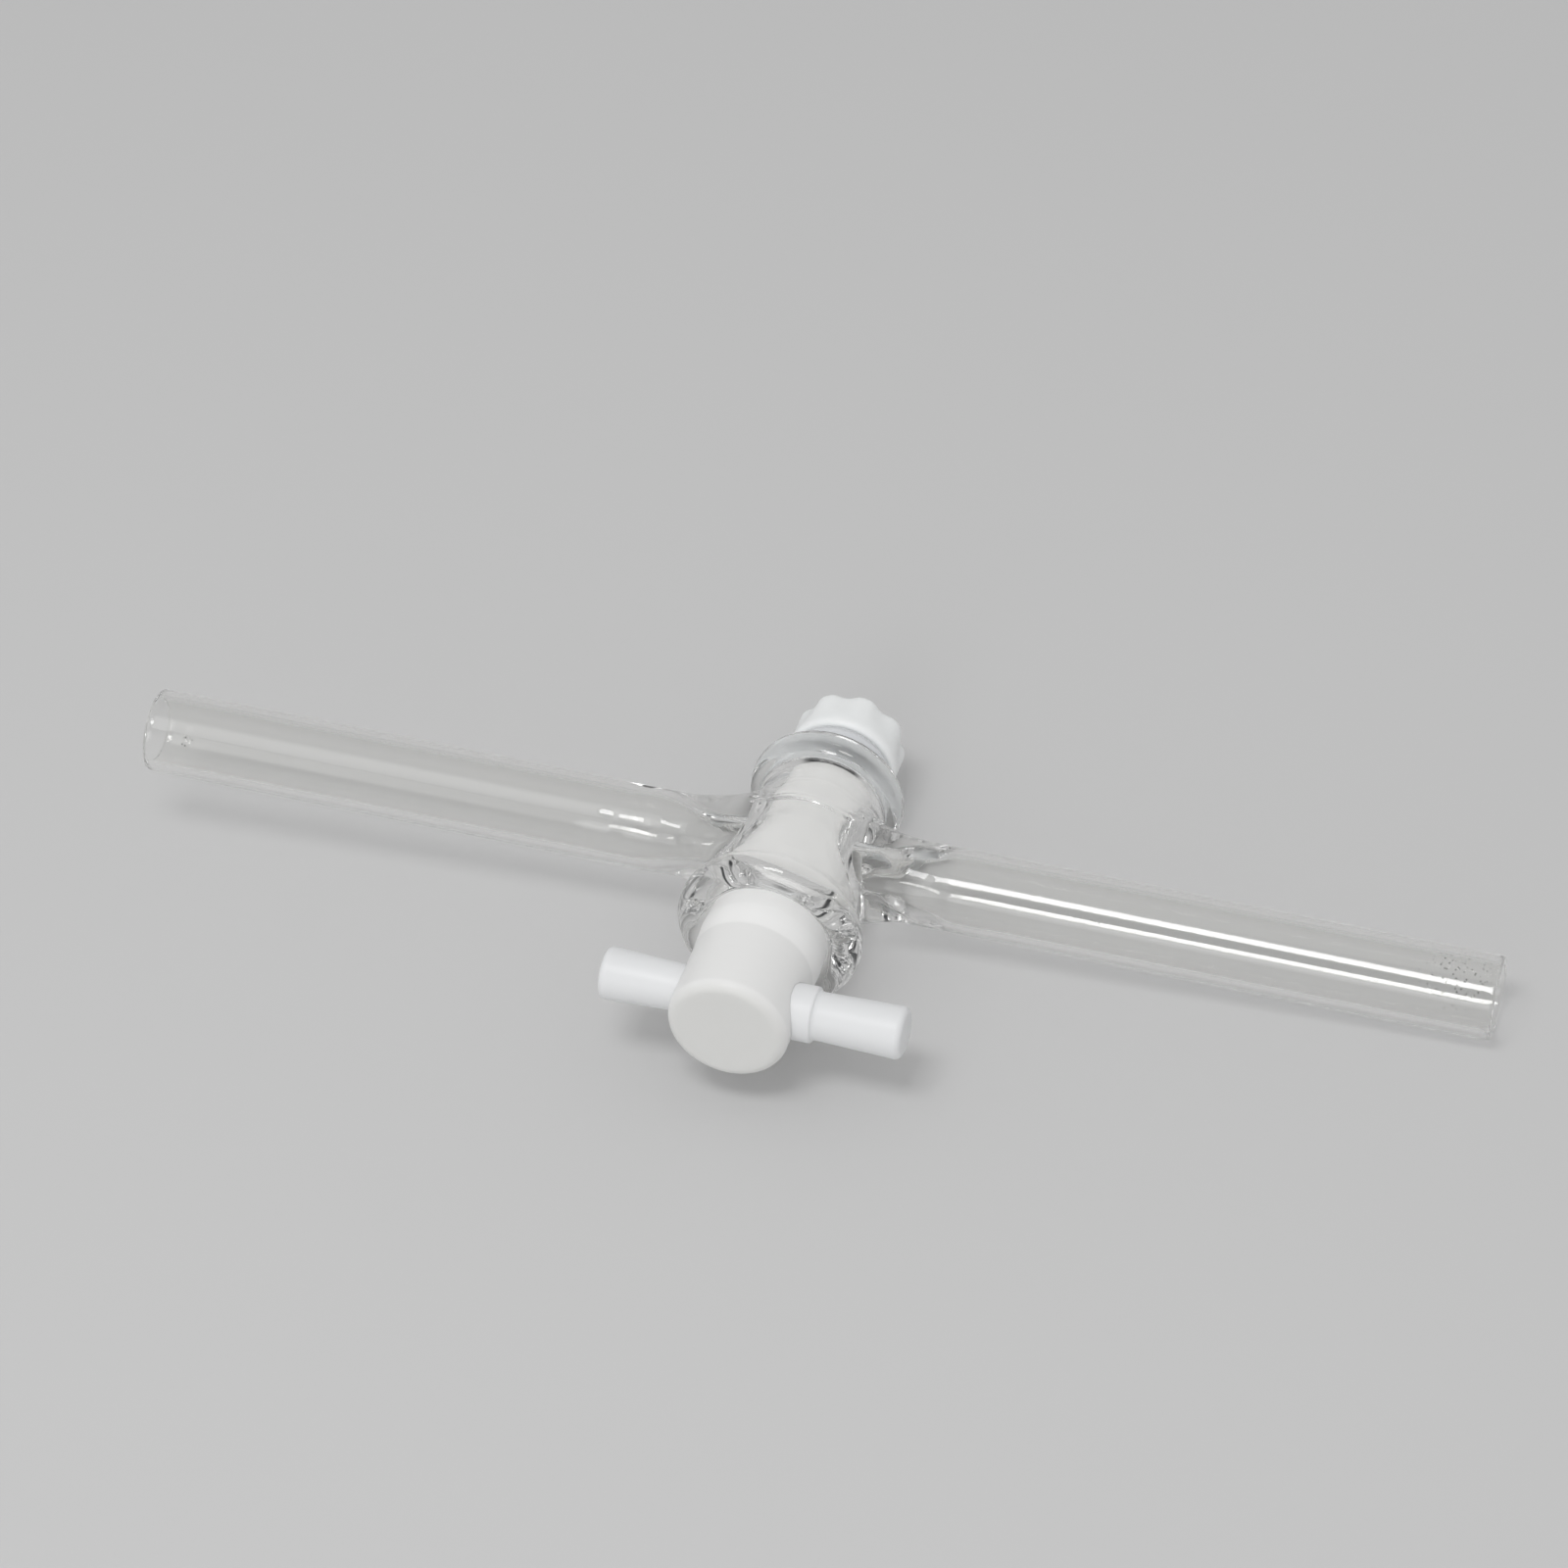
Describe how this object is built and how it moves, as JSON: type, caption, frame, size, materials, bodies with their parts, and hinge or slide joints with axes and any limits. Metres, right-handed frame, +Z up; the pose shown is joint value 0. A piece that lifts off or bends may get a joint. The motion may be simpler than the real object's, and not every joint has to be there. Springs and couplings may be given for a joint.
{
  "type": "glass stopcock",
  "caption": "Straight-bore glass stopcock: a tapered barrel with two in-line tube arms, a white T-handled key and a fluted tension nut.",
  "frame": {"origin": "where the axis of the tube arms crosses the axis of the key, in the middle of the key's cross bore", "axes": "+X along the flow towards the longer arm, +Y along the key from the handle to the nut, +Z up, square to both"},
  "size_m": [0.1654, 0.0547, 0.0224],
  "materials": {
    "glass": "clear, flame-polished outside, ground in the tapered bore",
    "ptfe_key": "waxy white, turned",
    "handle_plastic": "satin white, moulded",
    "ptfe_washer": "waxy white, turned",
    "ring_rubber": "white silicone rubber",
    "nut_plastic": "satin white, moulded"
  },
  "bodies": {
    "glass": {"glass_body": "glass"},
    "key": {"plug": "ptfe_key", "handle": "handle_plastic"},
    "seals": {"washer": "ptfe_washer", "o_ring": "ring_rubber"},
    "tension_nut": {"nut": "nut_plastic"}
  },
  "joints": [
    {"name": "key_turn", "type": "hinge", "parent": "glass", "child": "key", "pos_m": [0, 0, 0], "axis": [0, 1, 0], "continuous": true},
    {"name": "nut_back_off", "type": "slide", "parent": "key", "child": "seals", "axis": [0, 1, 0], "range_m": [0, 0.00525]},
    {"name": "nut_turn", "type": "hinge", "parent": "seals", "child": "tension_nut", "pos_m": [0, 0.0203, 0], "axis": [0, 1, 0], "range_deg": [0, 1261]}
  ],
  "couplings": [
    {"joint": "nut_turn", "follows": "nut_back_off", "rad_per_m": 4188.8}
  ]
}
